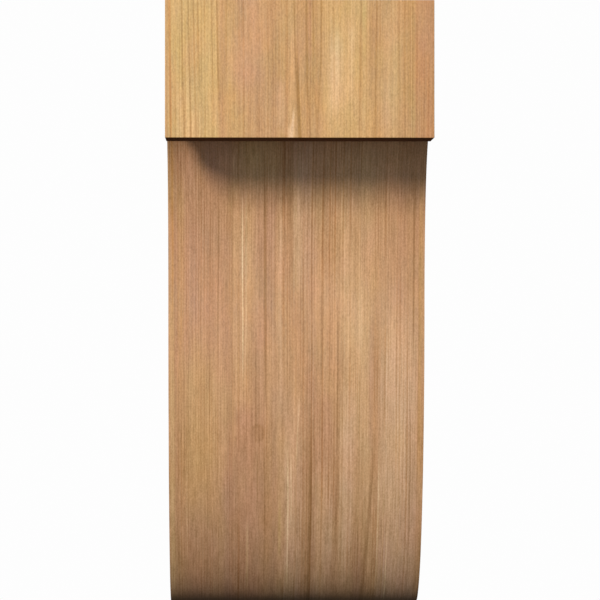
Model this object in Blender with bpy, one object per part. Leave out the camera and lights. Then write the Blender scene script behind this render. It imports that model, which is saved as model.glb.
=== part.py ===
"""A wooden corbel bracket: an S-curved body that stands against a wall, with a block across the front of its top.

Metres, +Z up. The front faces -Y, the flat back stands against a wall at y = 0, and the width runs along X.
The origin is the middle of the back face.
"""

import math

import bmesh
import bpy

# Overall sizes, over the front block and the body together
WIDTH = 0.1524
HEIGHT = 0.3556
DEPTH = 0.2032

# The front block, a short thick board with its grain upright
BLOCK_THICKNESS = 0.0381
BLOCK_HEIGHT = 0.0781

# The body's side outline, from the underside of its top member down to the wall
BLOCK_HANGS_BELOW_UNDERSIDE = 0.0100
LANDING_BEHIND_BLOCK = 0.0037
WAIST_BELOW_TOP = 0.1700
WAIST_THICKNESS = 0.0984
BELLY_CENTRE_BEHIND_WALL = 0.0086

# Finish and fit
EASED_EDGE = 0.0008
GLUE_GAP = 0.0003

# Fineness of the curves, which changes no size
EASED_EDGE_STEPS = 2
HOLLOW_STEPS = 32
BELLY_STEPS = 44
SHARP_FOLD = math.radians(30)

# Planes and heights that the two pieces share
TOP = HEIGHT / 2
BOTTOM = -HEIGHT / 2
WALL_PLANE = 0.0
FRONT_PLANE = WALL_PLANE - DEPTH
BLOCK_BACK = FRONT_PLANE + BLOCK_THICKNESS
BLOCK_BOTTOM = TOP - BLOCK_HEIGHT
UNDERSIDE = BLOCK_BOTTOM + BLOCK_HANGS_BELOW_UNDERSIDE
WAIST = TOP - WAIST_BELOW_TOP


def clear_scene():
    for obj in list(bpy.data.objects):
        bpy.data.objects.remove(obj, do_unlink=True)


def wood(name, colour, roughness):
    """A plain Principled material in this wood's mean colour."""
    material = bpy.data.materials.new(name)
    material.use_nodes = True
    shader = material.node_tree.nodes["Principled BSDF"]
    shader.inputs["Base Color"].default_value = (*colour, 1.0)
    shader.inputs["Roughness"].default_value = roughness
    shader.inputs["Metallic"].default_value = 0.0
    material.diffuse_color = (*colour, 1.0)
    return material


def ellipse_arc(centre, half_depth, half_height, start, end, steps):
    """Points (y, z) on an ellipse, from one angle to another, both ends included.

    Angles are measured from the front (-Y), turning downwards.
    """
    points = []
    for step in range(steps + 1):
        angle = start + (end - start) * step / steps
        y = centre[0] - half_depth * math.cos(angle)
        z = centre[1] - half_height * math.sin(angle)
        points.append((y, z))
    return points


def hollow_outline(front):
    """The hollow under the top member: a quarter ellipse, level at its top and upright at the waist."""
    start = front + LANDING_BEHIND_BLOCK
    return ellipse_arc(
        centre=(start, WAIST),
        half_depth=(WALL_PLANE - WAIST_THICKNESS) - start,
        half_height=UNDERSIDE - WAIST,
        start=-math.pi / 2,
        end=-math.pi,
        steps=HOLLOW_STEPS,
    )


def belly_outline():
    """The rounded lower part: an ellipse, upright at the waist, that the wall cuts off at the bottom corner."""
    half_depth = WAIST_THICKNESS + BELLY_CENTRE_BEHIND_WALL
    end = math.acos(BELLY_CENTRE_BEHIND_WALL / half_depth)
    return ellipse_arc(
        centre=(WALL_PLANE + BELLY_CENTRE_BEHIND_WALL, WAIST),
        half_depth=half_depth,
        half_height=(WAIST - BOTTOM) / math.sin(end),
        start=0.0,
        end=end,
        steps=BELLY_STEPS,
    )


def body_outline():
    """The body's side outline (y, z): its top member, the hollow, the belly and the flat back."""
    front = BLOCK_BACK + GLUE_GAP
    top_member = [(WALL_PLANE, TOP), (front, TOP), (front, UNDERSIDE)]
    return top_member + hollow_outline(front) + belly_outline()[1:]


def block_outline():
    """The front block's side outline (y, z), a plain rectangle."""
    return [
        (BLOCK_BACK, TOP),
        (FRONT_PLANE, TOP),
        (FRONT_PLANE, BLOCK_BOTTOM),
        (BLOCK_BACK, BLOCK_BOTTOM),
    ]


def sawn_piece(name, outline, material):
    """A piece of the corbel's full width, sawn to a side outline, with all its arrises eased."""
    shape = bmesh.new()
    side = shape.faces.new([shape.verts.new((-WIDTH / 2, y, z)) for y, z in outline])
    across = bmesh.ops.extrude_face_region(shape, geom=[side])
    moved = [item for item in across["geom"] if isinstance(item, bmesh.types.BMVert)]
    bmesh.ops.translate(shape, verts=moved, vec=(WIDTH, 0.0, 0.0))
    bmesh.ops.recalc_face_normals(shape, faces=shape.faces)
    mesh = bpy.data.meshes.new(name)
    shape.to_mesh(mesh)
    shape.free()
    mesh.shade_smooth()
    mesh.set_sharp_from_angle(angle=SHARP_FOLD)
    mesh.materials.append(material)

    piece = bpy.data.objects.new(name, mesh)
    bpy.context.scene.collection.objects.link(piece)
    easing = piece.modifiers.new("Eased arrises", "BEVEL")
    easing.width = EASED_EDGE
    easing.segments = EASED_EDGE_STEPS
    easing.limit_method = "ANGLE"
    easing.angle_limit = SHARP_FOLD
    return piece


def main():
    clear_scene()
    body_cedar = wood("body_cedar", colour=(0.571, 0.323, 0.165), roughness=0.62)
    block_cedar = wood("block_cedar", colour=(0.604, 0.361, 0.159), roughness=0.58)
    sawn_piece("corbel_body", body_outline(), body_cedar)
    sawn_piece("front_block", block_outline(), block_cedar)


main()
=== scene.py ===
"""Dresses the wooden corbel bracket: cedar for the body and the front block, in a plain pale studio.

Metres, +Z up. The front faces -Y, and the back stands against a wall at y = 0.
"""

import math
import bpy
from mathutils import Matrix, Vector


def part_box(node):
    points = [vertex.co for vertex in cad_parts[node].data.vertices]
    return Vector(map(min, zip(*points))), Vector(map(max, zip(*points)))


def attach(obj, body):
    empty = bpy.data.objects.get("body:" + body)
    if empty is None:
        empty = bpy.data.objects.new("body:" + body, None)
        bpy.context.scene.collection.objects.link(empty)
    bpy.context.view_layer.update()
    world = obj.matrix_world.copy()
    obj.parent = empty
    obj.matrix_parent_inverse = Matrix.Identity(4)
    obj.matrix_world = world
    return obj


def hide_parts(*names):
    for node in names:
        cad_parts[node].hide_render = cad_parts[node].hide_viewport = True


bl_info = {
    "name": "Wooden corbel bracket",
    "version": (1, 0, 0),
    "blender": (4, 5, 0),
    "location": "3D View > Sidebar > Corbel",
    "description": "Saws an S-curved cedar corbel and its front block, and lights them in a plain studio",
    "category": "Add Mesh",
}

from collections import namedtuple

import bpy
from mathutils import Vector

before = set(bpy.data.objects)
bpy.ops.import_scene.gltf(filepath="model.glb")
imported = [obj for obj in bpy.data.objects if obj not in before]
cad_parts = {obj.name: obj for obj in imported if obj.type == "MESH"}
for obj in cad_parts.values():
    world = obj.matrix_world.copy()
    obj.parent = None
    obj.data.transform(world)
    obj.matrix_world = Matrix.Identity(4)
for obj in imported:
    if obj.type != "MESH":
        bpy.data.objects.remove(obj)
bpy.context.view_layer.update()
BODY_LOW, BODY_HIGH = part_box("corbel_body")
BLOCK_LOW, BLOCK_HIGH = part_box("front_block")

MM = 0.001

# How finely each part of the side outline is stepped. A step is one row of faces across the width, and the
# margin is the narrow row along each arris.
EDGE_MARGIN = 1.6 * MM
ACROSS_STEPS = 44
DEEP_STEPS = 40
TOP_MEMBER_STEPS = 18
LANDING_STEPS = 2
HOLLOW_STEPS = 56
BELLY_STEPS = 84
BLOCK_DEEP_STEPS = 12
BLOCK_HIGH_STEPS = 24
EASED_EDGE_STEPS = 3
SHARP_FOLD = math.radians(30)

# Near its bottom corner the body thins out to a line. A margin takes at most this share of the thickness,
# and shares are taken of no less than the thinnest.
THIN_MARGIN_SHARE = 0.3
THINNEST = 0.01 * MM
SAME_POINT = 0.001 * MM

# The waves that hand sanding leaves, in a metre
SANDING_WAVES = 24.0
SANDING_SEED = 3.0

# The mask that the geometry writes and the wood reads: 1 on an arris, 0 one row away from it
ARRIS = "arris"

# Where the photograph was taken from, beside, below and in front of the block's top front edge
CAMERA_LEFT = 36.8 * MM
CAMERA_BELOW_TOP = 187.2 * MM
CAMERA_TO_FRONT = 1.9825
PHOTO_SIDE_PX = 600
PHOTO_MIDDLE_PX = (300.0, 300.0)
VANISHING_POINT_PX = (234.6, 331.0)
PX_PER_METRE_AT_FRONT = 1772.0
SENSOR_WIDTH_MM = 36.0


# Node trees

def add(tree, kind, inputs=None, **settings):
    """Adds a node with its settings, and joins or sets the inputs named."""
    node = tree.nodes.new(kind)
    for name, value in settings.items():
        setattr(node, name, value)
    for name, value in (inputs or {}).items():
        socket = node.inputs[name]
        if isinstance(value, bpy.types.NodeSocket):
            tree.links.new(value, socket)
        else:
            socket.default_value = value
    return node


def calc(tree, operation, *values, clamp=False):
    """One step of arithmetic on numbers or sockets."""
    node = add(tree, "ShaderNodeMath", dict(enumerate(values)), operation=operation, use_clamp=clamp)
    return node.outputs[0]


def vector_calc(tree, operation, *values):
    """One step of arithmetic on vectors. SCALE takes a vector and a number, and LENGTH gives a number."""
    names = (0, "Scale") if operation == "SCALE" else range(3)
    node = add(tree, "ShaderNodeVectorMath", dict(zip(names, values)), operation=operation)
    return node.outputs["Value" if operation == "LENGTH" else "Vector"]


def minus(tree, first, second):
    return calc(tree, "SUBTRACT", first, second)


def total(tree, *values):
    result = values[0]
    for value in values[1:]:
        result = calc(tree, "ADD", result, value)
    return result


def product(tree, *values):
    result = values[0]
    for value in values[1:]:
        result = calc(tree, "MULTIPLY", result, value)
    return result


def ease(tree, value, start, end, low=0.0, high=1.0, kind="SMOOTHSTEP"):
    """low before start, high after end, and a smooth or straight run between."""
    ranges = {"Value": value, "From Min": start, "From Max": end, "To Min": low, "To Max": high}
    return add(tree, "ShaderNodeMapRange", ranges, interpolation_type=kind, clamp=True).outputs[0]


def vector(tree, x, y, z):
    return add(tree, "ShaderNodeCombineXYZ", {"X": x, "Y": y, "Z": z}).outputs[0]


def split(tree, value):
    return add(tree, "ShaderNodeSeparateXYZ", {"Vector": value}).outputs


def new_group(name, kind, inputs, outputs):
    """A node group with named sockets: (tree, its input sockets by name, its output node)."""
    tree = bpy.data.node_groups.new(name, kind)
    for direction, sockets in (("INPUT", inputs), ("OUTPUT", outputs)):
        for label, (socket_type, default) in sockets.items():
            socket = tree.interface.new_socket(label, in_out=direction, socket_type=socket_type)
            if default is not None:
                socket.default_value = default
    return tree, tree.nodes.new("NodeGroupInput").outputs, tree.nodes.new("NodeGroupOutput")


def put_out(tree, output, values):
    for name, value in values.items():
        tree.links.new(value, output.inputs[name])


NUMBER = "NodeSocketFloat"
POINT = "NodeSocketVector"
COLOUR = "NodeSocketColor"


# The shape of the body and of the block

def stepped(tree, count, sections):
    """Running totals along one side of a grid of points.

    count is the socket that holds each point's row. sections are (rows, length) from the start. It returns
    the distance reached and, for each section, how far through it the row is, from 0 to 1.
    """
    start = 0
    distance = 0.0
    shares = []
    for rows, length in sections:
        share = ease(tree, count, float(start), float(start + rows), kind="LINEAR")
        shares.append(share)
        distance = calc(tree, "MULTIPLY_ADD", share, length, distance)
        start += rows
    return distance, shares


def edge_sections(tree, length, steps):
    """A side of that length: a narrow row at each end, which the eased arris takes, and steps between."""
    middle = minus(tree, length, 2 * EDGE_MARGIN)
    return [(1, EDGE_MARGIN), (steps, middle), (1, EDGE_MARGIN)]


def outermost(tree, row, last):
    """1 on the first and last rows, 0 between."""
    from_middle = calc(tree, "ABSOLUTE", minus(tree, row, last / 2))
    return calc(tree, "GREATER_THAN", from_middle, last / 2 - 0.5)


def grid_cube(tree, across, deep, down):
    """A unit cube with that many steps along X, Y and Z.

    It returns the cube, each point's rows counted from low X, low Y and high Z, and the arris mask.
    """
    counts = {"Vertices X": across + 1, "Vertices Y": deep + 1, "Vertices Z": down + 1}
    cube = add(tree, "GeometryNodeMeshCube", {"Size": (1.0, 1.0, 1.0)} | counts).outputs["Mesh"]
    x, y, z = split(tree, add(tree, "GeometryNodeInputPosition").outputs[0])
    row_x = product(tree, total(tree, x, 0.5), float(across))
    row_y = product(tree, total(tree, y, 0.5), float(deep))
    row_z = product(tree, minus(tree, 0.5, z), float(down))
    rows = [calc(tree, "ROUND", row) for row in (row_x, row_y, row_z)]
    ends = [outermost(tree, row, last) for row, last in zip(rows, (across, deep, down))]
    arris = calc(tree, "SUBTRACT", total(tree, *ends), 1.0, clamp=True)
    return cube, rows, arris


def timber_group(name, sizes):
    """A rule that takes those sizes and a wood, and puts out a mesh."""
    inputs = {size: (NUMBER, None) for size in sizes} | {"Wood": ("NodeSocketMaterial", None)}
    return new_group(name, "GeometryNodeTree", inputs, {"Mesh": ("NodeSocketGeometry", None)})


def finish_timber(tree, output, mesh, place, arris, sockets):
    """Moves the grid to its place, lets hand sanding wander over it, and gives it its wood."""
    spread = add(tree, "GeometryNodeSetPosition", {"Geometry": mesh, "Position": place}).outputs[0]
    close = {"Geometry": spread, "Distance": SAME_POINT}
    placed = add(tree, "GeometryNodeMergeByDistance", close).outputs[0]
    mask = {"Geometry": placed, "Name": ARRIS, "Value": arris}
    store = add(tree, "GeometryNodeStoreNamedAttribute", mask, data_type="FLOAT", domain="POINT")
    here = add(tree, "GeometryNodeInputPosition").outputs[0]
    waves = {"Scale": SANDING_WAVES, "Detail": 1.0, "Roughness": 0.5, "W": SANDING_SEED}
    hollows = add(tree, "ShaderNodeTexNoise", {"Vector": here} | waves, noise_dimensions="4D").outputs[0]
    rise = product(tree, minus(tree, hollows, 1.0), sockets["Sanding"])
    offset = vector_calc(tree, "SCALE", add(tree, "GeometryNodeInputNormal").outputs[0], rise)
    moved = {"Geometry": store.outputs[0], "Offset": offset}
    sanded = add(tree, "GeometryNodeSetPosition", moved).outputs[0]
    whole = add(tree, "GeometryNodeRealizeInstances", {"Geometry": sanded}).outputs[0]
    wood = add(tree, "GeometryNodeSetMaterial", {"Geometry": whole, "Material": sockets["Wood"]}).outputs[0]
    put_out(tree, output, {"Mesh": wood})


def body_tree():
    """The body's rule: a grid of rows that follows the side outline in front and the flat back behind."""
    sizes = (
        "Width", "Top", "Front", "Underside", "Landing", "Waist", "Waist Thickness",
        "Belly Centre", "Bottom", "Sanding",
    )
    tree, given, output = timber_group("Sawn corbel body", sizes)

    down = 1 + TOP_MEMBER_STEPS + LANDING_STEPS + HOLLOW_STEPS + BELLY_STEPS
    across = ACROSS_STEPS + 2
    deep = DEEP_STEPS + 2
    cube, (row_x, row_y, row_z), arris = grid_cube(tree, across, deep, down)

    # Lengths of the outline's parts
    member = minus(tree, given["Top"], given["Underside"])
    hollow_high = minus(tree, given["Underside"], given["Waist"])
    waist_y = product(tree, given["Waist Thickness"], -1.0)
    hollow_deep = minus(tree, minus(tree, waist_y, given["Front"]), given["Landing"])
    belly_deep = total(tree, given["Waist Thickness"], given["Belly Centre"])
    belly_end = calc(tree, "ARCCOSINE", calc(tree, "DIVIDE", given["Belly Centre"], belly_deep))
    belly_drop = minus(tree, given["Waist"], given["Bottom"])
    belly_high = calc(tree, "DIVIDE", belly_drop, calc(tree, "SINE", belly_end))

    # The front outline: each part adds its own run, so the parts join end to end
    member_rest = minus(tree, member, EDGE_MARGIN)
    sections = [
        (1, EDGE_MARGIN), (TOP_MEMBER_STEPS, member_rest), (LANDING_STEPS, given["Landing"]),
        (HOLLOW_STEPS, hollow_high), (BELLY_STEPS, belly_drop),
    ]
    run, (edge, upright, landing, hollow, belly) = stepped(tree, row_z, sections)
    quarter = product(tree, hollow, math.pi / 2)
    turn = product(tree, belly, belly_end)
    hollow_fall = minus(tree, 1.0, calc(tree, "COSINE", quarter))
    hollow_back = product(tree, hollow_deep, calc(tree, "SINE", quarter))
    hollow_drop = product(tree, hollow_high, hollow_fall)
    belly_back = product(tree, belly_deep, minus(tree, 1.0, calc(tree, "COSINE", turn)))
    belly_fall = product(tree, belly_high, calc(tree, "SINE", turn))
    landing_back = product(tree, given["Landing"], landing)
    edge_drop = product(tree, edge, EDGE_MARGIN)
    member_drop = total(tree, edge_drop, product(tree, upright, member_rest))
    front_y = total(tree, given["Front"], landing_back, hollow_back, belly_back)
    front_z = minus(tree, given["Top"], total(tree, member_drop, hollow_drop, belly_fall))

    # The flat back shares its rows out in the same order
    run_whole = total(tree, member, given["Landing"], hollow_high, belly_drop)
    height = minus(tree, given["Top"], given["Bottom"])
    back_share = calc(tree, "DIVIDE", run, run_whole)
    back_z = minus(tree, given["Top"], product(tree, height, back_share))

    # Across the width, and from the front surface to the wall
    x_reached, _ = stepped(tree, row_x, edge_sections(tree, given["Width"], ACROSS_STEPS))
    x = calc(tree, "MULTIPLY_ADD", given["Width"], -0.5, x_reached)
    thickness = product(tree, front_y, -1.0)
    margin = calc(tree, "MINIMUM", product(tree, thickness, THIN_MARGIN_SHARE), EDGE_MARGIN)
    middle = calc(tree, "MULTIPLY_ADD", margin, -2.0, thickness)
    deep_reached, _ = stepped(tree, row_y, [(1, margin), (DEEP_STEPS, middle), (1, margin)])
    share = calc(tree, "DIVIDE", deep_reached, calc(tree, "MAXIMUM", thickness, THINNEST))
    share = ease(tree, share, 0.0, 1.0, kind="LINEAR")
    last = calc(tree, "COMPARE", row_y, float(deep), 0.5)
    share = calc(tree, "MAXIMUM", share, last)
    y = product(tree, front_y, minus(tree, 1.0, share))
    z = calc(tree, "MULTIPLY_ADD", minus(tree, back_z, front_z), share, front_z)
    finish_timber(tree, output, cube, vector(tree, x, y, z), arris, given)
    return tree


def block_tree():
    """The front block's rule: a plain board, with narrow rows at its arrises."""
    sizes = ("Width", "Top", "Front", "Back", "Bottom", "Sanding")
    tree, given, output = timber_group("Front block", sizes)
    steps = (ACROSS_STEPS + 2, BLOCK_DEEP_STEPS + 2, BLOCK_HIGH_STEPS + 2)
    cube, (row_x, row_y, row_z), arris = grid_cube(tree, *steps)
    thickness = minus(tree, given["Back"], given["Front"])
    height = minus(tree, given["Top"], given["Bottom"])
    x_reached, _ = stepped(tree, row_x, edge_sections(tree, given["Width"], ACROSS_STEPS))
    deep_reached, _ = stepped(tree, row_y, edge_sections(tree, thickness, BLOCK_DEEP_STEPS))
    down_reached, _ = stepped(tree, row_z, edge_sections(tree, height, BLOCK_HIGH_STEPS))
    x = calc(tree, "MULTIPLY_ADD", given["Width"], -0.5, x_reached)
    y = total(tree, given["Front"], deep_reached)
    z = minus(tree, given["Top"], down_reached)
    finish_timber(tree, output, cube, vector(tree, x, y, z), arris, given)
    return tree


def new_object(name, data):
    obj = bpy.data.objects.new(name, data)
    bpy.context.scene.collection.objects.link(obj)
    return obj


def made_by(tree, name, values, easing):
    """A plain mesh object from a tree, with its arrises eased and its normals set."""
    obj = new_object(name, bpy.data.meshes.new(name))
    shape = obj.modifiers.new("Shape", "NODES")
    shape.node_group = tree
    for item in tree.interface.items_tree:
        if item.item_type == "SOCKET" and item.in_out == "INPUT":
            shape[item.identifier] = values[item.name]
    bevel = obj.modifiers.new("Eased arrises", "BEVEL")
    bevel.width = easing
    bevel.segments = EASED_EDGE_STEPS
    bevel.limit_method = "ANGLE"
    bevel.angle_limit = SHARP_FOLD
    graph = bpy.context.evaluated_depsgraph_get()
    made = obj.evaluated_get(graph)
    mesh = bpy.data.meshes.new_from_object(made, preserve_all_data_layers=True, depsgraph=graph)
    obj.modifiers.clear()
    obj.data = mesh
    mesh.name = name
    mesh.shade_smooth()
    return obj


# The wood

Streak = namedtuple("Streak", "tint across width start end strength soft lean", defaults=(0.3, 0.8, 0.0))
Streak.__doc__ = "A band down the grain: across, half width, start and end are mm from the top middle."

# Noise keeps mostly to this middle part of its range from 0 to 1, and this gain makes a swing of it
MOST_NOISE = (0.35, 0.65)
SWING_GAIN = 4.0

# How far a face has turned to the side, the top or the wall when that cut of the wood begins to show, and
# when it shows alone
TURNED = (0.45, 0.75)

# The log each board is cut from. A grain is the size of a noise's waves along X, Y and Z.
HEART_SPREAD = 50 * MM
HEART_LEAN = 12 * MM
HEART_LEAN_GRAIN = (1.0, 1.0, 0.30)
ARCH_WANDER = 1.4 * MM
ARCH_GRAIN = (1.0, 0.07, 0.20)
FRONT_GRAIN = (0.05, 1.0, 0.12)
TOP_BOW_SHARE = 0.5

# The back shows the same rings as the front, moved aside and with fainter streaks
BACK_SHIFT = 17 * MM
BACK_HIDES_STREAKS = 0.7

# Fibres seen in front run back into the timber as sheets, so depth changes them this little
FRONT_DEPTH_SHARE = 0.06


def noise(tree, point, sizes, seed, detail=1.0, roughness=0.5, output="Fac"):
    """Noise whose grains are as long as sizes says along X, Y and Z."""
    place = vector_calc(tree, "DIVIDE", point, sizes)
    inputs = {"Vector": place, "W": seed, "Scale": 1.0, "Detail": detail, "Roughness": roughness}
    return add(tree, "ShaderNodeTexNoise", inputs, noise_dimensions="4D").outputs[output]


def chance_of(tree, seed):
    """A number from 0 to 1 that depends on the seed alone."""
    return add(tree, "ShaderNodeTexWhiteNoise", {"W": seed}, noise_dimensions="1D").outputs["Value"]


def swing(tree, value, amount):
    """Noise turned into a swing about 0, of about amount to each side."""
    return product(tree, calc(tree, "MULTIPLY_ADD", value, SWING_GAIN, -SWING_GAIN / 2), amount)


def ring_place_group():
    """Where a point lies across the growth rings: lines in front, arches on the sides, arcs on the top."""
    tree, given, output = new_group(
        "Ring place",
        "ShaderNodeTree",
        {
            "Vector": (POINT, None), "Normal": (POINT, None), "Bow": (NUMBER, 6.0), "Taper": (NUMBER, 0.16),
            "Middle": (NUMBER, -95 * MM), "Wander": (NUMBER, 0.5 * MM), "Seed": (NUMBER, 0.0),
        },
        {name: (NUMBER, None) for name in ("Place", "Upright", "Front")} | {"Fibre Point": (POINT, None)},
    )
    point = given["Vector"]
    seed = given["Seed"]
    x, y, z = split(tree, point)
    facing = split(tree, given["Normal"])
    side = ease(tree, calc(tree, "ABSOLUTE", facing[0]), *TURNED)
    top = ease(tree, facing[2], *TURNED)
    wall = ease(tree, facing[1], *TURNED)
    hidden = calc(tree, "MAXIMUM", side, top)

    # The rings bow round the heart, and lean and taper up the log
    off_middle = product(tree, minus(tree, chance_of(tree, seed), 0.5), HEART_SPREAD)
    heart = total(tree, given["Middle"], off_middle)
    lean = swing(tree, noise(tree, point, HEART_LEAN_GRAIN, seed), HEART_LEAN)
    from_heart = minus(tree, y, total(tree, heart, lean))
    bow = product(tree, from_heart, from_heart, given["Bow"])
    rough = swing(tree, noise(tree, point, ARCH_GRAIN, seed, detail=2.0), ARCH_WANDER)
    arches = total(tree, bow, product(tree, z, given["Taper"]), rough)

    across_side = product(tree, arches, side)
    across_top = product(tree, bow, TOP_BOW_SHARE, top)
    across_wall = product(tree, wall, BACK_SHIFT)
    wander = swing(tree, noise(tree, point, FRONT_GRAIN, seed, detail=2.0), given["Wander"])
    no_streaks = calc(tree, "MAXIMUM", hidden, product(tree, wall, BACK_HIDES_STREAKS))
    depth_share = ease(tree, hidden, 0.0, 1.0, FRONT_DEPTH_SHARE, 1.0, kind="LINEAR")
    results = {
        "Place": total(tree, x, wander, across_side, across_top, across_wall),
        "Upright": minus(tree, 1.0, no_streaks),
        "Front": minus(tree, 1.0, calc(tree, "MAXIMUM", hidden, wall)),
        "Fibre Point": vector(tree, x, product(tree, y, depth_share), z),
    }
    put_out(tree, output, results)
    return tree


# Late wood darkens from the first share of a ring to the second, and stops where the next ring begins
LATE_WOOD = (0.30, 0.84)

# The years crowd and spread by a noise that changes this fast from ring to ring, by up to so many rings
YEAR_CHANGE_RATE = 0.3
YEAR_CHANGE = 2.4

# The faintest ring's strength, and how much of a ring's strength its faintest stretch keeps
LEAST_RING = 0.30
LEAST_STRETCH = 0.25
STRETCH_GRAIN = (18 * MM, 1.0, 70 * MM)
BAND_GRAIN = (11 * MM, 1.0, 250 * MM)


def growth_rings_group():
    """Close lines of late wood, each with its own strength, and broad bands of light and dark years."""
    tree, given, output = new_group(
        "Growth rings",
        "ShaderNodeTree",
        {
            "Vector": (POINT, None), "Place": (NUMBER, None), "Ring Width": (NUMBER, 2.3 * MM),
            "Seed": (NUMBER, 0.0),
        },
        {"Late Wood": (NUMBER, None), "Band": (NUMBER, None)},
    )
    seed = given["Seed"]
    height = split(tree, given["Vector"])[2]
    rings = calc(tree, "DIVIDE", given["Place"], given["Ring Width"])
    change = {"W": calc(tree, "MULTIPLY_ADD", rings, YEAR_CHANGE_RATE, seed), "Scale": 1.0, "Detail": 1.0}
    years = add(tree, "ShaderNodeTexNoise", change, noise_dimensions="1D").outputs[0]
    count = calc(tree, "MULTIPLY_ADD", years, YEAR_CHANGE, rings)
    through = calc(tree, "FRACT", count)
    darkening = ease(tree, through, *LATE_WOOD)
    ending = ease(tree, through, LATE_WOOD[1], 1.0, low=1.0, high=0.0)
    ring = total(tree, calc(tree, "FLOOR", count), seed)
    ring_strength = ease(tree, chance_of(tree, ring), 0.0, 1.0, LEAST_RING, 1.0, kind="LINEAR")
    placed = vector(tree, given["Place"], 0.0, height)
    clear = ease(tree, noise(tree, placed, STRETCH_GRAIN, seed), *MOST_NOISE, LEAST_STRETCH, 1.0)
    late = product(tree, darkening, ending, product(tree, ring_strength, clear))
    band = noise(tree, placed, BAND_GRAIN, seed, detail=2.0, roughness=0.6)
    put_out(tree, output, {"Late Wood": late, "Band": band})
    return tree


FIBRE_GRAIN = (0.80 * MM, 0.80 * MM, 55 * MM)
FLECK_GRAIN = (1.0 * MM, 1.0 * MM, 7 * MM)
SPECK_GRAIN = (0.70 * MM, 0.70 * MM, 1.1 * MM)
HUE_GRAIN = (10 * MM, 10 * MM, 28 * MM)

# How far a fibre's shade moves red, green and blue: a darker fibre is browner, and a lighter one paler
SHADE_REACH = (0.95, 1.05, 1.35)

# How far the slow changes of hue move red, green and blue at full strength
HUE_REACH = (0.30, 0.06, 0.42)


def fibre_group():
    """What fills the rings: a tint about 1 of long fibres, short flecks, specks and slow changes of hue."""
    tree, given, output = new_group(
        "Fibres",
        "ShaderNodeTree",
        {
            "Vector": (POINT, None), "Fibres": (NUMBER, 0.15), "Flecks": (NUMBER, 0.10),
            "Specks": (NUMBER, 0.07), "Hue": (NUMBER, 0.6), "Seed": (NUMBER, 0.0),
        },
        {"Tint": (COLOUR, None), "Fibre": (NUMBER, None), "Fleck": (NUMBER, None)},
    )
    point = given["Vector"]
    seed = given["Seed"]
    fibre = noise(tree, point, FIBRE_GRAIN, seed, detail=2.0, roughness=0.6)
    fleck = noise(tree, point, FLECK_GRAIN, seed)
    speck = noise(tree, point, SPECK_GRAIN, seed, detail=0.5)
    parts = ((fibre, "Fibres"), (fleck, "Flecks"), (speck, "Specks"))
    shade = total(tree, *[swing(tree, value, given[name]) for value, name in parts])
    browned = vector(tree, *[calc(tree, "MULTIPLY_ADD", shade, reach, 1.0) for reach in SHADE_REACH])
    drift = noise(tree, point, HUE_GRAIN, seed, detail=2.0, output="Color")
    centred = vector_calc(tree, "SUBTRACT", drift, (0.5, 0.5, 0.5))
    hue_reach = vector_calc(tree, "SCALE", HUE_REACH, given["Hue"])
    hued = vector_calc(tree, "MULTIPLY_ADD", centred, hue_reach, (1.0, 1.0, 1.0))
    tint = vector_calc(tree, "MULTIPLY", hued, browned)
    put_out(tree, output, {"Tint": tint, "Fibre": fibre, "Fleck": fleck})
    return tree


# Wear begins and is full at these values of the arris mask. It comes in patches, which begin and are full
# at these values of their noise.
WEAR_NEARS = (0.1, 0.9)
WEAR_GRAIN = (9 * MM, 9 * MM, 9 * MM)
WEAR_PATCHES = (0.35, 0.6)


def worn_arris_group():
    """Where handling has worn the arrises paler: an uneven mask along them."""
    tree, given, output = new_group(
        "Worn arris",
        "ShaderNodeTree",
        {"Vector": (POINT, None), "Arris": (NUMBER, 0.0), "Amount": (NUMBER, 0.4), "Seed": (NUMBER, 0.0)},
        {"Mask": (NUMBER, None)},
    )
    uneven = noise(tree, given["Vector"], WEAR_GRAIN, given["Seed"], detail=3.0, roughness=0.65)
    near = ease(tree, given["Arris"], *WEAR_NEARS)
    mask = product(tree, near, ease(tree, uneven, *WEAR_PATCHES), given["Amount"])
    put_out(tree, output, {"Mask": mask})
    return tree


# Where a streak fades in and out, as shares of its length
STREAK_FADES_IN = (-0.15, 0.20)
STREAK_FADES_OUT = (0.75, 1.15)


def streak_group():
    """One streak down the grain: full along its middle, fading to its edges and its ends."""
    names = ("Across", "Half Width", "Start", "End", "Lean", "Soft")
    inputs = {"Vector": (POINT, None)} | {name: (NUMBER, 0.0) for name in names}
    tree, given, output = new_group("Streak", "ShaderNodeTree", inputs, {"Mask": (NUMBER, None)})
    x, _, z = split(tree, given["Vector"])
    down = minus(tree, given["Start"], z)
    middle = calc(tree, "MULTIPLY_ADD", down, given["Lean"], given["Across"])
    from_middle = calc(tree, "ABSOLUTE", minus(tree, x, middle))
    away = calc(tree, "DIVIDE", from_middle, given["Half Width"])
    sideways = ease(tree, away, minus(tree, 1.0, given["Soft"]), 1.0, 1.0, 0.0)
    along = calc(tree, "DIVIDE", down, minus(tree, given["Start"], given["End"]))
    fade_in = ease(tree, along, *STREAK_FADES_IN)
    fade_out = ease(tree, along, *STREAK_FADES_OUT, 1.0, 0.0)
    mask = product(tree, sideways, product(tree, fade_in, fade_out))
    put_out(tree, output, {"Mask": mask})
    return tree


def mix(tree, factor, first, second, blend="MIX"):
    inputs = {0: factor, 6: first, 7: second}
    node = add(tree, "ShaderNodeMix", inputs, data_type="RGBA", blend_type=blend, clamp_factor=True)
    return node.outputs[2]


def place_group(tree, make, name, **inputs):
    """Places the shared group of that name, built the first time, with this material's own values."""
    group = bpy.data.node_groups.get(name) or make()
    named = {label.replace("_", " "): value for label, value in inputs.items()}
    return add(tree, "ShaderNodeGroup", named, node_tree=group).outputs


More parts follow.
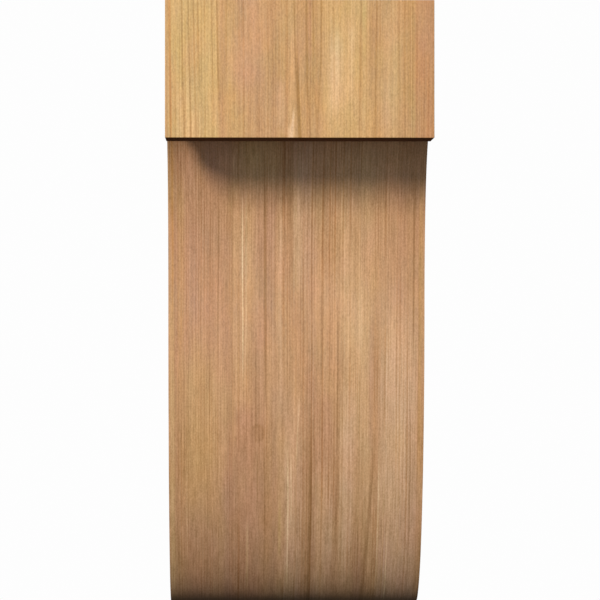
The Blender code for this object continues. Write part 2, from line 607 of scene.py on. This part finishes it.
# A knot: its eye and rim, as strengths and as shares of its radius. It is a little longer than it is wide.
KNOT_EYE = 0.30
KNOT_EYE_EDGE = (0.5, 1.5)
KNOT_RIM = 0.45
KNOT_RIM_WIDTH = 0.40
KNOT_SIDES = (-1.2, 1.2)
KNOT_FAINT_SIDE = 0.3
KNOT_STRETCH = (1.0, 0.0, 0.85)


def knot(tree, point, shown, colour, dark, across, down, radius):
    """A pin knot: a small dark eye with a rim that is darkest at its upper right."""
    middle = (across * MM, 0.0, BLOCK_HIGH[2] - down * MM)
    away = vector_calc(tree, "MULTIPLY", vector_calc(tree, "SUBTRACT", point, middle), KNOT_STRETCH)
    share = calc(tree, "DIVIDE", vector_calc(tree, "LENGTH", away), radius * MM)
    eye = ease(tree, share, *KNOT_EYE_EDGE, KNOT_EYE, 0.0)
    up_right = calc(tree, "DIVIDE", total(tree, *split(tree, away)), radius * MM)
    lopsided = ease(tree, up_right, *KNOT_SIDES, KNOT_FAINT_SIDE, 1.0)
    from_rim = calc(tree, "ABSOLUTE", minus(tree, share, 1.0))
    rim = product(tree, ease(tree, from_rim, 0.0, KNOT_RIM_WIDTH, KNOT_RIM, 0.0), lopsided)
    return mix(tree, product(tree, total(tree, eye, rim), shown), colour, dark)


# Cycles can hold only so many values at once, so streaks are worked out in batches. A shift too small to
# show, taken from the colour so far, makes each batch wait until the batch before it is mixed in.
STREAK_BATCH = 10
WAITING_SHIFT = 0.0001 * MM

# Boards glued side by side have seeds this far apart
BOARD_SEED_STEP = 7.31

# End grain is darker: on top by up to the first amount, and below by up to the second, which grows with a
# high power of how far the face looks down. Below, the darkening is partly end grain and partly painted
# shade
TOP_END_GRAIN = 0.5
TOP_END_TURN = (0.82, 0.99)
LOW_END_GRAIN_AND_SHADE = 0.65
LOW_END_AND_SHADE_POWER = 12.0
# Where the block's underside takes its own dark colour: partly saw-cut end grain, partly painted shade
# under the block
SAWN_AND_SHADED_TURN = (-0.7, -0.95)

# The relief that fibres, flecks and rings leave, as shares of its depth
RELIEF_DEPTH = 0.10 * MM
RELIEF_STRENGTH = 0.22
FIBRE_RELIEF = 0.5
FLECK_RELIEF = 0.3
RING_RELIEF = -0.3

# Roughness at the two ends of the flecks' noise, and how much wear smooths it
FLECK_ENDS = (0.3, 0.7)
ROUGHNESS = (0.54, 0.70)
WEAR_SMOOTHS = -0.15
SHEEN = 0.2


def cedar(name, palette, streaks, seed, ring_width, staves, grain_strength, fibre_strength,
          speck_strength, hue, knots=(), sawn_and_shaded_below=False):
    """Bare sanded cedar. staves is how many upright boards it is glued from and the width of each."""
    material = bpy.data.materials.new(name)
    material.use_nodes = True
    tree = material.node_tree
    shader = tree.nodes["Principled BSDF"]
    coordinates = add(tree, "ShaderNodeTexCoord")
    point = coordinates.outputs["Object"]
    normal = coordinates.outputs["Normal"]
    x, _, z = split(tree, point)

    # Each stave is its own board, so its grain is drawn from another place
    count, width = staves
    stave = calc(tree, "FLOOR", calc(tree, "DIVIDE", total(tree, x, count * width / 2), width))
    board_seed = calc(tree, "MULTIPLY_ADD", stave, BOARD_SEED_STEP, seed)
    cut = place_group(tree, ring_place_group, "Ring place", Vector=point, Normal=normal, Seed=board_seed)
    place = cut["Place"]
    rings = place_group(
        tree, growth_rings_group, "Growth rings",
        Vector=point, Place=place, Ring_Width=ring_width, Seed=board_seed,
    )
    fibres = place_group(
        tree, fibre_group, "Fibres",
        Vector=cut["Fibre Point"], Fibres=fibre_strength, Specks=speck_strength, Hue=hue, Seed=board_seed,
    )

    # Broad bands of years first, then the streaks and knots, then each ring's line and the fibres over all
    colour = mix(tree, ease(tree, rings["Band"], *MOST_NOISE), palette["early"], palette["mid"])
    for index, streak in enumerate(streaks):
        if index % STREAK_BATCH == 0:
            waiting = calc(tree, "MULTIPLY_ADD", split(tree, colour)[0], WAITING_SHIFT, place)
            along_rings = vector(tree, waiting, 0.0, z)
        mask = place_group(
            tree, streak_group, "Streak", Vector=along_rings,
            Across=streak.across * MM, Half_Width=streak.width * MM, Soft=streak.soft, Lean=streak.lean,
            Start=BLOCK_HIGH[2] - streak.start * MM, End=BLOCK_HIGH[2] - streak.end * MM,
        )["Mask"]
        shown = product(tree, mask, streak.strength, cut["Upright"])
        colour = mix(tree, shown, colour, palette[streak.tint])
    for across, down, radius in knots:
        colour = knot(tree, point, cut["Front"], colour, palette["late"], across, down, radius)
    lined = mix(tree, 1.0, colour, palette["line"], blend="MULTIPLY")
    colour = mix(tree, product(tree, rings["Late Wood"], grain_strength), colour, lined)
    colour = mix(tree, 1.0, colour, fibres["Tint"], blend="MULTIPLY")

    # End grain is darker, most of all where it is left from the saw. The darkening of faces that look down
    # is partly end grain and partly painted shade
    looks_up = split(tree, normal)[2]
    upward = ease(tree, looks_up, *TOP_END_TURN, 0.0, TOP_END_GRAIN)
    under = calc(tree, "POWER", calc(tree, "MULTIPLY", looks_up, -1.0, clamp=True), LOW_END_AND_SHADE_POWER)
    downward_end_and_shade = product(tree, under, LOW_END_GRAIN_AND_SHADE)
    colour = mix(tree, calc(tree, "MAXIMUM", upward, downward_end_and_shade), colour, palette["end"])
    # The block's underside gets its own dark colour, partly saw-cut end grain and partly painted shade
    # under the block
    if sawn_and_shaded_below:
        sawn_and_shaded = ease(tree, looks_up, *SAWN_AND_SHADED_TURN)
        colour = mix(tree, sawn_and_shaded, colour, palette["below"])

    arris = add(tree, "ShaderNodeAttribute", attribute_name=ARRIS).outputs["Fac"]
    worn = place_group(tree, worn_arris_group, "Worn arris", Vector=point, Arris=arris, Seed=seed)["Mask"]
    colour = mix(tree, worn, colour, palette["bright"])

    height = total(
        tree,
        product(tree, fibres["Fibre"], FIBRE_RELIEF),
        product(tree, fibres["Fleck"], FLECK_RELIEF),
        product(tree, rings["Late Wood"], RING_RELIEF),
    )
    relief = {"Strength": RELIEF_STRENGTH, "Distance": RELIEF_DEPTH, "Height": height}
    bump = add(tree, "ShaderNodeBump", relief)
    tree.links.new(colour, shader.inputs["Base Color"])
    tree.links.new(bump.outputs[0], shader.inputs["Normal"])
    rough = ease(tree, fibres["Fleck"], *FLECK_ENDS, *ROUGHNESS)
    rough = calc(tree, "MULTIPLY_ADD", worn, WEAR_SMOOTHS, rough)
    if sawn_and_shaded_below:
        rough = calc(tree, "MAXIMUM", rough, sawn_and_shaded)
    tree.links.new(rough, shader.inputs["Roughness"])
    shader.inputs["Specular IOR Level"].default_value = SHEEN
    return material


def rgba(values):
    return (*values, 1.0)


BODY_STAVES = 4

BODY_STREAKS = (
    # Broad tones
    Streak("pink", -57.0, 19.0, 60, 215, 0.70, 0.3),
    Streak("olive", -22.0, 16.0, 40, 100, 0.30, 0.5),
    Streak("amber", -69.0, 3.5, 95, 190, 0.60, 0.8),
    Streak("gold", -58.0, 13.0, 205, 305, 0.42, 0.7),
    Streak("gold", -74.0, 2.4, 165, 400, 0.35, 0.8),
    Streak("straw", -74.0, 2.0, 200, 400, 0.30, 0.8),
    Streak("amber", -69.0, 3.0, 178, 230, 0.45, 0.9),
    Streak("mauve", -61.5, 5.0, 110, 185, 0.35, 0.9),
    Streak("amber", -60.0, 15.0, 205, 310, 0.35, 0.6),
    Streak("pink", -57.0, 18.0, 292, 400, 0.58, 0.7),
    Streak("brown", -55.0, 14.0, 275, 400, 0.25, 0.7),
    Streak("cream", -31.5, 5.0, 90, 225, 0.10, 0.9),
    Streak("mauve", -15.5, 5.5, 105, 190, 0.52, 0.9),
    Streak("pink", -31.0, 8.0, 232, 275, 0.75, 0.6),
    Streak("mauve", -40.0, 6.0, 258, 400, 0.60, 0.9),
    Streak("pink", -31.0, 15.0, 262, 400, 0.75, 0.7),
    Streak("brown", -22.0, 6.0, 95, 320, 0.52, 0.8),
    Streak("straw", -29.5, 1.2, 305, 345, 0.45, 0.9),
    Streak("mauve", -13.5, 4.5, 190, 400, 0.32, 0.9),
    Streak("cream", 3.0, 6.5, 50, 170, 0.36, 0.4),
    Streak("straw", 1.0, 4.0, 100, 160, 0.25, 0.9),
    Streak("pink", 16.0, 9.0, 225, 278, 0.65, 0.6),
    Streak("brown", 10.5, 4.5, 262, 400, 0.65, 0.9),
    Streak("cream", 17.0, 9.0, 262, 400, 0.38, 0.8),
    Streak("cream", 20.5, 3.5, 285, 330, 0.35, 0.9),
    Streak("brown", 9.0, 4.5, 110, 265, 0.50, 0.9),
    Streak("straw", 34.0, 14.0, 60, 205, 0.22, 0.6),
    Streak("late", 39.8, 1.6, 95, 185, 0.18, 0.9),
    Streak("straw", 33.0, 9.0, 165, 260, 0.32, 0.8),
    Streak("pink", 59.0, 8.0, 95, 200, 0.40, 0.7),
    Streak("cream", 61.0, 14.5, 180, 400, 0.66, 0.5),
    Streak("straw", 58.0, 11.0, 180, 300, 0.20, 0.6),
    Streak("straw", 28.5, 4.0, 225, 335, 0.35, 0.8),
    Streak("cream", 31.0, 6.5, 225, 335, 0.55, 0.8),
    Streak("pink", 37.0, 4.0, 290, 360, 0.30, 0.9),
    Streak("straw", 41.0, 6.0, 165, 325, 0.35, 0.8),
    Streak("brown", 38.5, 4.0, 322, 400, 0.45, 0.9),
    Streak("gold", 73.8, 1.8, 100, 165, 0.30, 0.8),
    Streak("pink", 73.5, 3.0, 130, 280, 0.40, 0.8),
    Streak("amber", 73.8, 1.8, 100, 285, 0.80, 0.8),
    Streak("brown", 72.5, 3.0, 270, 400, 0.35, 0.8),
    Streak("cream", -2.0, 9.5, 235, 400, 0.45, 0.7),
    # Single lines and narrow strips
    Streak("orange", -73.7, 1.1, 70, 180, 0.70, 0.9),
    Streak("late", -72.2, 0.6, 95, 240, 0.40, 0.9),
    Streak("late", -66.8, 0.6, 200, 275, 0.45, 0.9),
    Streak("late", -46.6, 0.8, 100, 225, 0.50, 0.8),
    Streak("late", -51.5, 0.6, 105, 200, 0.30, 0.8),
    Streak("late", -37.8, 0.7, 90, 180, 0.35, 0.8),
    Streak("bright", -32.2, 0.7, 112, 215, 0.80, 0.8, 0.004),
    Streak("bright", -29.9, 0.5, 100, 200, 0.60, 0.8),
    Streak("bright", -34.6, 0.5, 165, 225, 0.35, 0.8),
    Streak("bright", -65.4, 0.5, 262, 330, 0.30, 0.9),
    Streak("gold", -10.0, 1.4, 290, 325, 0.45, 0.9),
    Streak("late", -19.0, 1.1, 95, 225, 0.85, 0.8, 0.006),
    Streak("late", -24.0, 0.8, 195, 262, 0.50, 0.9),
    Streak("late", -18.8, 0.8, 255, 335, 0.60, 0.9),
    Streak("late", -3.9, 2.0, 60, 170, 0.36, 0.8, 0.008),
    Streak("cream", -9.0, 3.0, 110, 235, 0.35, 0.9),
    Streak("late", 16.8, 1.6, 95, 200, 0.25, 0.9, -0.012),
    Streak("late", 15.2, 0.8, 160, 225, 0.55, 0.9),
    Streak("late", 8.4, 1.0, 205, 255, 0.25, 0.9),
    Streak("late", 8.7, 1.6, 245, 372, 0.75, 0.8),
    Streak("late", 24.7, 1.0, 175, 262, 0.70, 0.9),
    Streak("bright", 28.6, 0.7, 120, 215, 0.15, 0.9),
    Streak("late", 24.8, 1.5, 262, 320, 0.45, 0.9),
    Streak("brown", 44.6, 2.0, 175, 262, 0.45, 0.9),
    Streak("late", 46.4, 1.7, 258, 380, 0.58, 0.9, -0.060),
    Streak("late", 69.8, 1.0, 100, 200, 0.80, 0.8),
    Streak("late", 68.4, 0.8, 240, 345, 0.45, 0.9),
    Streak("bright", -5.2, 0.7, 262, 345, 0.90, 0.8),
    Streak("bright", -3.2, 0.6, 262, 305, 0.60, 0.9),
    Streak("late", -53.0, 0.6, 262, 345, 0.40, 0.9),
    Streak("late", -23.3, 0.7, 262, 295, 0.55, 0.9),
    Streak("bright", 2.0, 0.7, 228, 275, 0.40, 0.9, -0.055),
    Streak("bright", 49.6, 0.7, 262, 340, 0.60, 0.9),
    Streak("bright", 52.6, 0.5, 270, 345, 0.40, 0.9),
    Streak("bright", 61.5, 0.5, 262, 320, 0.30, 0.9),
    Streak("bright", 55.2, 0.6, 310, 400, 0.75, 0.9),
)

# Pin knots: across, down from the top and radius, in millimetres
BODY_KNOTS = ((-23.1, 248.3, 3.9),)

BLOCK_STREAKS = (
    # Broad tones
    Streak("gold", -60.0, 16.0, -40, 120, 0.90, 0.2),
    Streak("straw", -63.0, 9.0, 50, 120, 0.40, 0.8),
    Streak("mid", -43.5, 4.0, -20, 70, 0.40, 0.8),
    Streak("pink", -29.0, 12.0, -25, 60, 0.55, 0.7),
    Streak("mauve", -22.0, 16.0, 30, 120, 0.22, 0.7),
    Streak("cream", -10.5, 4.5, 45, 75, 0.25, 0.9),
    Streak("gold", 26.0, 15.0, -40, 120, 0.70, 0.4),
    Streak("straw", 20.5, 5.5, 20, 66, 0.60, 0.9, -0.04),
    Streak("straw", 29.0, 2.6, 15, 56, 0.50, 0.9),
    Streak("straw", 24.0, 10.0, 10, 62, 0.25, 0.9),
    Streak("straw", 50.0, 6.0, 0, 85, 0.25, 0.8),
    Streak("amber", 60.5, 5.0, -40, 120, 0.65, 0.7),
    Streak("salmon", 71.5, 7.5, -40, 120, 0.75, 0.4),
    # Single lines and narrow strips
    Streak("orange", -74.2, 1.1, -30, 110, 0.75, 0.7, 0.015),
    Streak("late", -67.2, 0.8, -30, 110, 0.60, 0.8, 0.018),
    Streak("late", -63.5, 0.8, -30, 110, 0.60, 0.8, 0.018),
    Streak("late", -60.6, 0.8, -30, 110, 0.55, 0.8, 0.018),
    Streak("late", -57.8, 0.6, -20, 60, 0.40, 0.8, 0.018),
    Streak("late", -50.3, 0.6, -20, 60, 0.40, 0.8, 0.018),
    Streak("late", -47.3, 0.8, -30, 62, 0.75, 0.8, 0.016),
    Streak("late", -41.6, 0.7, -15, 45, 0.50, 0.8),
    Streak("late", -3.8, 0.8, -30, 60, 0.55, 0.8, 0.018),
    Streak("late", -2.2, 1.3, 30, 120, 1.00, 0.6, 0.050),
    Streak("late", 3.4, 0.9, -30, 48, 0.70, 0.8, 0.008),
    Streak("salmon", 5.8, 1.2, -30, 40, 0.45, 0.8),
    Streak("late", 7.7, 0.9, -30, 40, 0.65, 0.8),
    Streak("late", 3.9, 0.8, 40, 95, 0.45, 0.8, 0.06),
    Streak("late", 7.0, 0.8, 38, 95, 0.35, 0.8, 0.09),
    Streak("late", 12.7, 0.9, -30, 40, 0.65, 0.8, -0.010),
    Streak("late", 12.0, 0.8, 30, 72, 0.50, 0.8, -0.045),
    Streak("olive", 36.2, 2.2, 0, 36, 0.40, 0.9),
    Streak("late", 35.0, 0.9, -30, 110, 0.40, 0.8, -0.015),
    Streak("late", 40.0, 0.8, -30, 60, 0.30, 0.8),
    Streak("late", 43.8, 0.9, -30, 110, 0.60, 0.8, -0.015),
    Streak("late", 59.5, 0.7, -30, 110, 0.35, 0.8),
    Streak("late", 61.5, 0.7, -30, 110, 0.40, 0.8),
    Streak("late", 63.9, 1.0, -30, 110, 0.45, 0.8),
    Streak("bright", -3.4, 1.2, 63, 82, 0.60, 0.9, -0.08),
    Streak("bright", -5.0, 3.2, 71, 90, 0.45, 1.0),
)


# What a user can set

def metres(label, text, default):
    return bpy.props.FloatProperty(
        name=label, description=text, default=default, min=0.0, unit="LENGTH", precision=4
    )


def watts(label, text, default):
    return bpy.props.FloatProperty(name=label, description=text, default=default, subtype="POWER")


def paint(label, text, default):
    return bpy.props.FloatVectorProperty(
        name=label, description=text, default=default, size=3, min=0.0, max=1.0, subtype="COLOR"
    )


class CorbelSizes(bpy.types.PropertyGroup):
    """Real sizes. The outside ones come from the frame, and the side outline's repeat the model's own."""

    width: metres("Width", "Across the front", BODY_HIGH[0] - BODY_LOW[0])
    landing: metres("Landing", "Level underside between the block and the hollow", 3.7 * MM)
    underside: metres("Underside", "From the top down to the underside behind the block", 68.1 * MM)
    waist: metres("Waist height", "From the top down to the waist", 170.0 * MM)
    waist_thickness: metres("Waist thickness", "From the wall to the waist", 98.4 * MM)
    belly_centre: metres("Belly centre", "How far the belly's centre lies behind the wall", 8.6 * MM)
    height: metres("Height", "From the top to the bottom corner", 355.6 * MM)
    easing: metres("Eased arris", "How far each arris is eased", 0.35 * MM)
    sanding: metres("Sanding", "How far hand sanding leaves the faces out of true", 0.12 * MM)


class CorbelWood(bpy.types.PropertyGroup):
    """Colours of the two boards."""

    body_early: paint("Body, early wood", "The body's light wood", (0.478, 0.257, 0.115))
    body_mid: paint("Body, middle", "The body's darker bands", (0.400, 0.206, 0.091))
    body_late: paint("Body, late wood", "The body's dark lines", (0.27, 0.13, 0.045))
    block_early: paint("Block, early wood", "The block's light wood", (0.445, 0.247, 0.092))
    block_mid: paint("Block, middle", "The block's darker bands", (0.385, 0.202, 0.076))
    block_late: paint("Block, late wood", "The block's dark lines", (0.30, 0.15, 0.040))
    cream: paint("Cream", "Pale pinkish figure", (0.53, 0.318, 0.180))
    straw: paint("Straw", "Pale yellowish figure", (0.56, 0.350, 0.165))
    bright: paint("Bright", "The palest lines", (0.66, 0.430, 0.230))
    gold: paint("Gold", "Golden heartwood", (0.478, 0.286, 0.104))
    olive: paint("Olive", "Greenish gold heartwood", (0.410, 0.262, 0.080))
    amber: paint("Amber", "Brownish gold heartwood", (0.430, 0.228, 0.086))
    orange: paint("Orange", "Resinous lines", (0.420, 0.195, 0.056))
    pink: paint("Pink", "Pinkish heartwood", (0.412, 0.204, 0.101))
    salmon: paint("Salmon", "The block's reddest heartwood", (0.405, 0.192, 0.080))
    mauve: paint("Mauve", "Dull reddish heartwood", (0.345, 0.174, 0.099))
    brown: paint("Brown", "Dull brown heartwood", (0.388, 0.204, 0.105))
    # Also painted over faces that look down, partly as end grain and partly as painted shade
    end: paint("End grain", "Wood cut across the grain", (0.20, 0.095, 0.04))
    # The block's underside colour is partly saw-cut end grain and partly painted shade under the block
    below: paint("Block, underside", "The block's sawn lower end", (0.15, 0.052, 0.008))
    line: paint("Line", "How much of each colour a growth ring's dark line leaves", (0.74, 0.62, 0.45))


class CorbelStudio(bpy.types.PropertyGroup):
    """The plain studio."""

    floor_drop: metres("Floor drop", "From the corbel's bottom corner down to the floor", 0.25)
    key: watts("Key light", "Power of the main light", 113.0)
    fill: watts("Fill light", "Power of the soft front light", 33.0)
    floor: paint("Floor", "Colour of the floor", (0.86, 0.86, 0.86))


def palette_of(wood, board):
    """A board's own colours and those that both boards share, by tint."""
    names = {"early": f"{board}_early", "mid": f"{board}_mid", "late": f"{board}_late"}
    shared = (
        "cream", "straw", "bright", "gold", "olive", "amber", "orange", "pink", "salmon", "mauve", "brown",
        "end", "below", "line",
    )
    names |= {name: name for name in shared}
    return {name: rgba(getattr(wood, source)) for name, source in names.items()}


# The studio. A light's direction is the way its light travels.

LIGHT_DISTANCE = 3.0
KEY_DIRECTION = (0.397, 0.877, -0.280)
KEY_SIZE = 0.60
FILL_DIRECTION = (0.05, 1.0, 0.03)
FILL_SIZE = 1.5
COOL_WHITE = (0.77, 0.94, 1.22)
BACK_LIGHTS = (
    ("Back left fill", (1.0, -0.75, -0.55), 120.0),
    ("Back right fill", (-1.0, -0.75, -0.55), 140.0),
)
BACK_SIZE = 1.4
LIT_MIDDLE = (0.0, -0.12, 0.0)

# How bright the world is as a light, and as the camera sees it
WORLD_LIGHTS = 0.035
WORLD_SEEN = 0.985

# The floor's half width, and how far from its middle it begins to fade and is gone
FLOOR_REACH = 3.0
FLOOR_FADES = (0.5, 2.4)
FLOOR_ROUGHNESS = 0.9


def aim(obj, place, target):
    obj.location = place
    obj.rotation_mode = "QUATERNION"
    obj.rotation_quaternion = (Vector(target) - Vector(place)).to_track_quat("-Z", "Y")


def soft_light(name, direction, size, power, centre):
    """A round soft box that throws its light along direction on to the centre."""
    data = bpy.data.lights.new(name, "AREA")
    data.shape = "DISK"
    data.size = size
    data.energy = power
    light = new_object(name, data)
    aim(light, Vector(centre) - Vector(direction).normalized() * LIGHT_DISTANCE, centre)
    return light


def pale_floor(colour):
    """A matt floor that fades out far from the corbel and can't be seen from below."""
    material = bpy.data.materials.new("Pale floor")
    material.use_nodes = True
    tree = material.node_tree
    shader = tree.nodes["Principled BSDF"]
    shader.inputs["Base Color"].default_value = colour
    shader.inputs["Roughness"].default_value = FLOOR_ROUGHNESS
    point = add(tree, "ShaderNodeTexCoord").outputs["Object"]
    flat = vector_calc(tree, "MULTIPLY", point, (1.0, 1.0, 0.0))
    away = vector_calc(tree, "LENGTH", flat)
    clear = add(tree, "ShaderNodeBsdfTransparent").outputs[0]
    below = add(tree, "ShaderNodeNewGeometry").outputs["Backfacing"]
    gone = calc(tree, "MAXIMUM", ease(tree, away, *FLOOR_FADES), below)
    fade = add(tree, "ShaderNodeMixShader", {0: gone, 1: shader.outputs[0], 2: clear})
    tree.links.new(fade.outputs[0], tree.nodes["Material Output"].inputs["Surface"])
    return material


# Operators

class SawBody(bpy.types.Operator):
    """Saw the S-curved body from its staves"""

    bl_idname = "corbel.saw_body"
    bl_label = "Saw the body"

    def execute(self, context):
        sizes = context.scene.corbel_sizes
        top = BODY_HIGH[2]
        wood = cedar(
            "Body cedar", palette_of(context.scene.corbel_wood, "body"), BODY_STREAKS, knots=BODY_KNOTS,
            seed=2.0, ring_width=1.7 * MM, staves=(BODY_STAVES, sizes.width / BODY_STAVES),
            grain_strength=0.90, fibre_strength=0.18, speck_strength=0.13, hue=0.6,
        )
        values = {
            "Width": sizes.width, "Top": top, "Front": BODY_LOW[1], "Underside": top - sizes.underside,
            "Landing": sizes.landing, "Waist": top - sizes.waist, "Waist Thickness": sizes.waist_thickness,
            "Belly Centre": sizes.belly_centre, "Bottom": top - sizes.height, "Sanding": sizes.sanding,
            "Wood": wood,
        }
        body = made_by(body_tree(), "corbel_body_cedar", values, sizes.easing)
        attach(body, "root")
        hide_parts("corbel_body")
        return {"FINISHED"}


class CutBlock(bpy.types.Operator):
    """Cut the front block"""

    bl_idname = "corbel.cut_block"
    bl_label = "Cut the front block"

    def execute(self, context):
        sizes = context.scene.corbel_sizes
        # The block's underside is painted darker: partly saw-cut end grain, partly painted shade
        wood = cedar(
            "Block cedar", palette_of(context.scene.corbel_wood, "block"), BLOCK_STREAKS, sawn_and_shaded_below=True,
            seed=40.0, ring_width=2.1 * MM, staves=(1, sizes.width),
            grain_strength=0.75, fibre_strength=0.14, speck_strength=0.13, hue=0.9,
        )
        values = {
            "Width": sizes.width, "Top": BLOCK_HIGH[2], "Front": BLOCK_LOW[1], "Back": BLOCK_HIGH[1],
            "Bottom": BLOCK_LOW[2], "Sanding": sizes.sanding, "Wood": wood,
        }
        block = made_by(block_tree(), "front_block_cedar", values, sizes.easing)
        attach(block, "root")
        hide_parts("front_block")
        return {"FINISHED"}


class SetStage(bpy.types.Operator):
    """Set up the camera, the pale floor and the soft lights"""

    bl_idname = "corbel.set_stage"
    bl_label = "Set the stage"

    def execute(self, context):
        studio = context.scene.corbel_studio
        self.place_camera(context)
        self.light_world(context)
        self.lay_floor(studio)
        block_edge = (0.0, BLOCK_LOW[1], BLOCK_LOW[2])
        soft_light("Key light", KEY_DIRECTION, KEY_SIZE, studio.key, block_edge)
        fill = soft_light("Front fill", FILL_DIRECTION, FILL_SIZE, studio.fill, LIT_MIDDLE)
        fill.data.color = COOL_WHITE
        for name, direction, power in BACK_LIGHTS:
            soft_light(name, direction, BACK_SIZE, power, LIT_MIDDLE)
        return {"FINISHED"}

    def place_camera(self, context):
        data = bpy.data.cameras.new("Camera")
        camera = new_object("Camera", data)
        data.sensor_width = SENSOR_WIDTH_MM
        focal_px = PX_PER_METRE_AT_FRONT * CAMERA_TO_FRONT
        data.lens = focal_px / PHOTO_SIDE_PX * SENSOR_WIDTH_MM
        place = Vector((-CAMERA_LEFT, BLOCK_LOW[1] - CAMERA_TO_FRONT, BLOCK_HIGH[2] - CAMERA_BELOW_TOP))
        right_px = PHOTO_MIDDLE_PX[0] - VANISHING_POINT_PX[0]
        up_px = VANISHING_POINT_PX[1] - PHOTO_MIDDLE_PX[1]
        aim(camera, place, place + Vector((right_px, focal_px, up_px)))
        context.scene.camera = camera

    def light_world(self, context):
        world = bpy.data.worlds.new("Studio")
        context.scene.world = world
        world.use_nodes = True
        tree = world.node_tree
        background = tree.nodes["Background"]
        seen = add(tree, "ShaderNodeLightPath").outputs["Is Camera Ray"]
        strength = ease(tree, seen, 0.0, 1.0, WORLD_LIGHTS, WORLD_SEEN, kind="LINEAR")
        background.inputs["Color"].default_value = (1.0, 1.0, 1.0, 1.0)
        tree.links.new(strength, background.inputs["Strength"])

    def lay_floor(self, studio):
        name = "floor"
        mesh = bpy.data.meshes.new(name)
        reach = FLOOR_REACH
        z = BODY_LOW[2] - studio.floor_drop
        corners = [(-reach, -reach, z), (reach, -reach, z), (reach, reach, z), (-reach, reach, z)]
        mesh.from_pydata(corners, [], [(0, 1, 2, 3)])
        floor = new_object(name, mesh)
        mesh.materials.append(pale_floor(rgba(studio.floor)))
        floor.visible_diffuse = False
        floor.visible_glossy = False


class CorbelPanel(bpy.types.Panel):
    """Lists the corbel's sizes and colours and the steps that make it"""

    bl_idname = "VIEW3D_PT_corbel"
    bl_label = "Corbel bracket"
    bl_space_type = "VIEW_3D"
    bl_region_type = "UI"
    bl_category = "Corbel"

    def draw(self, context):
        scene = context.scene
        for settings in (scene.corbel_sizes, scene.corbel_wood, scene.corbel_studio):
            box = self.layout.box()
            for name in settings.__annotations__:
                box.prop(settings, name)
        for step in (SawBody, CutBlock, SetStage):
            self.layout.operator(step.bl_idname)


SETTINGS = {"corbel_sizes": CorbelSizes, "corbel_wood": CorbelWood, "corbel_studio": CorbelStudio}
CLASSES = (*SETTINGS.values(), SawBody, CutBlock, SetStage, CorbelPanel)


def register():
    for cls in CLASSES:
        bpy.utils.register_class(cls)
    for name, group in SETTINGS.items():
        setattr(bpy.types.Scene, name, bpy.props.PointerProperty(type=group))


def unregister():
    for name in SETTINGS:
        delattr(bpy.types.Scene, name)
    for cls in reversed(CLASSES):
        bpy.utils.unregister_class(cls)


def main():
    register()
    bpy.context.scene.view_settings.view_transform = "Standard"
    bpy.ops.corbel.set_stage()
    bpy.ops.corbel.saw_body()
    bpy.ops.corbel.cut_block()


if __name__ == "__main__":
    main()
